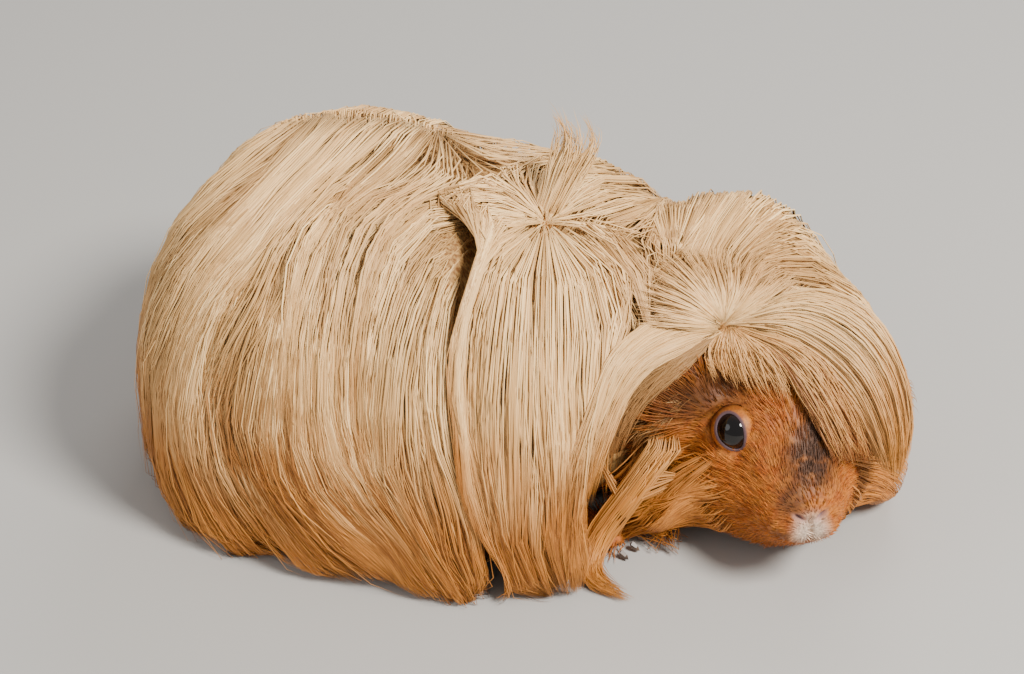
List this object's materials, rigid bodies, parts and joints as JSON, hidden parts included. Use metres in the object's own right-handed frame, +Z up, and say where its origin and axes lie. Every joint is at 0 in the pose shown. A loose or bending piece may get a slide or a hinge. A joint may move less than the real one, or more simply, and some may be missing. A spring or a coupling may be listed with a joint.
{
  "type": "long-haired guinea pig model",
  "caption": "Life-size still model of a long-haired guinea pig at rest, with a cream-blond coat that falls to the floor and its head turned to its right, for display.",
  "frame": {"origin": "middle of the whole animal's box, at floor level", "axes": "+X from the rump to the shoulders, +Y to the animal's left, +Z up"},
  "size_m": [0.2278, 0.1338, 0.119],
  "materials": {
    "body_hair": "long soft hair, cream-blond with golden ends",
    "face_hair": "short soft hair, orange-brown with dark brindling on the bridge of the nose",
    "skin": "matte, thinly haired skin",
    "eye": "wet gloss",
    "claw": "satin horn"
  },
  "bodies": {
    "root": {"head": "skin", "eye_left": "eye", "ear_left": "skin", "eye_right": "eye", "ear_right": "skin", "trunk": "skin", "neck": "skin", "foreleg_left": "skin", "claw_foreleg_left_1": "claw", "claw_foreleg_left_2": "claw", "claw_foreleg_left_3": "claw", "claw_foreleg_left_4": "claw", "foreleg_right": "skin", "claw_foreleg_right_1": "claw", "claw_foreleg_right_2": "claw", "claw_foreleg_right_3": "claw", "claw_foreleg_right_4": "claw", "hindleg_left": "skin", "claw_hindleg_left_1": "claw", "claw_hindleg_left_2": "claw", "claw_hindleg_left_3": "claw", "hindleg_right": "skin", "claw_hindleg_right_1": "claw", "claw_hindleg_right_2": "claw", "claw_hindleg_right_3": "claw", "coat_rump": "body_hair", "coat_flank_left": "body_hair", "coat_flank_right": "body_hair", "coat_shoulder_left": "body_hair", "coat_shoulder_right": "body_hair", "mane_left": "body_hair", "mane_right": "body_hair", "forelock": "face_hair", "cheek_lock_right": "face_hair", "cheek_fur_left": "face_hair", "cheek_fur_right": "face_hair", "back_tuft": "body_hair"}
  },
  "joints": []
}
